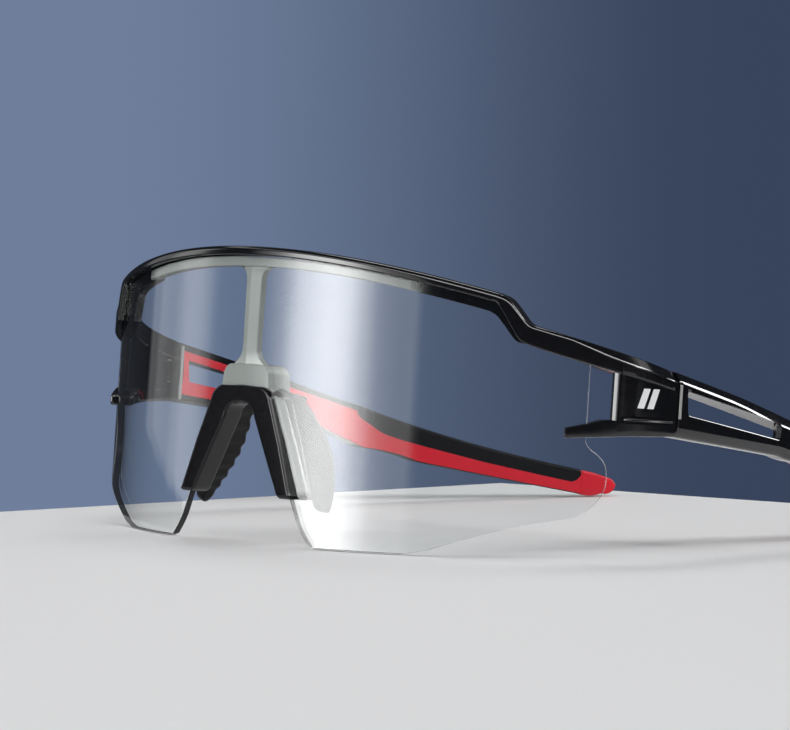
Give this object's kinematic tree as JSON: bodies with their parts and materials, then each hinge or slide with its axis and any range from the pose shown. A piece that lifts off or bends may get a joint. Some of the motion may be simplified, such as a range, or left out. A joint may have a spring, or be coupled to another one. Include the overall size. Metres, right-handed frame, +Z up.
{
  "type": "wraparound sport sunglasses",
  "caption": "Half-rim sport sunglasses with one curved shield lens, vented end blocks, bendable nose pads and folding temples with a slot and rubber ear grips.",
  "frame": {"origin": "on the surface it lies on, under the middle of its bounding box", "axes": "+Z up from that surface, +Y towards the back of the wearer's head, +X to the wearer's left; the temples are open and it rests on the lens foot and both temple tips, so the lens leans back 3.8 degrees"},
  "size_m": [0.1464, 0.1662, 0.0577],
  "materials": {
    "black_gloss": "injection-moulded nylon, high gloss",
    "red_satin": "satin moulded",
    "clear_grey": "translucent, glossy",
    "smoked_lens": "polished clear smoke-blue sheet",
    "black_rubber": "soft-touch matte",
    "core_metal": "plain",
    "screw_steel": "plain",
    "insert_brass": "plain"
  },
  "bodies": {
    "front": {"frame_front": "black_gloss", "nose_bridge_carrier": "clear_grey", "shield_lens": "smoked_lens", "nose_saddle": "black_rubber", "hinge_screw_left": "screw_steel", "hinge_screw_right": "screw_steel", "hinge_insert_left": "insert_brass", "hinge_insert_right": "insert_brass"},
    "temple_left": {"temple_arm_left": "black_gloss", "temple_inlay_left": "red_satin", "ear_grip_left": "black_rubber", "temple_core_left": "core_metal"},
    "temple_right": {"temple_arm_right": "black_gloss", "temple_inlay_right": "red_satin", "ear_grip_right": "black_rubber", "temple_core_right": "core_metal"},
    "pad_left": {"nose_pad_left": "black_rubber", "nose_pad_core_left": "core_metal"},
    "pad_right": {"nose_pad_right": "black_rubber", "nose_pad_core_right": "core_metal"}
  },
  "joints": [
    {"name": "left_temple_fold", "type": "hinge", "parent": "front", "child": "temple_left", "pos_m": [0.0694, -0.03806, 0.02955], "axis": [0, 0.0663, 0.9978], "range_deg": [0, 90]},
    {"name": "right_temple_fold", "type": "hinge", "parent": "front", "child": "temple_right", "pos_m": [-0.0694, -0.03806, 0.02955], "axis": [0, -0.0663, -0.9978], "range_deg": [0, 80]},
    {"name": "left_pad_bend", "type": "hinge", "parent": "front", "child": "pad_left", "pos_m": [0.0109, -0.07686, 0.01885], "axis": [-0.454, 0.059, 0.889], "range_deg": [-8, 8]},
    {"name": "right_pad_bend", "type": "hinge", "parent": "front", "child": "pad_right", "pos_m": [-0.0109, -0.07686, 0.01885], "axis": [-0.454, -0.059, -0.889], "range_deg": [-8, 8]}
  ]
}
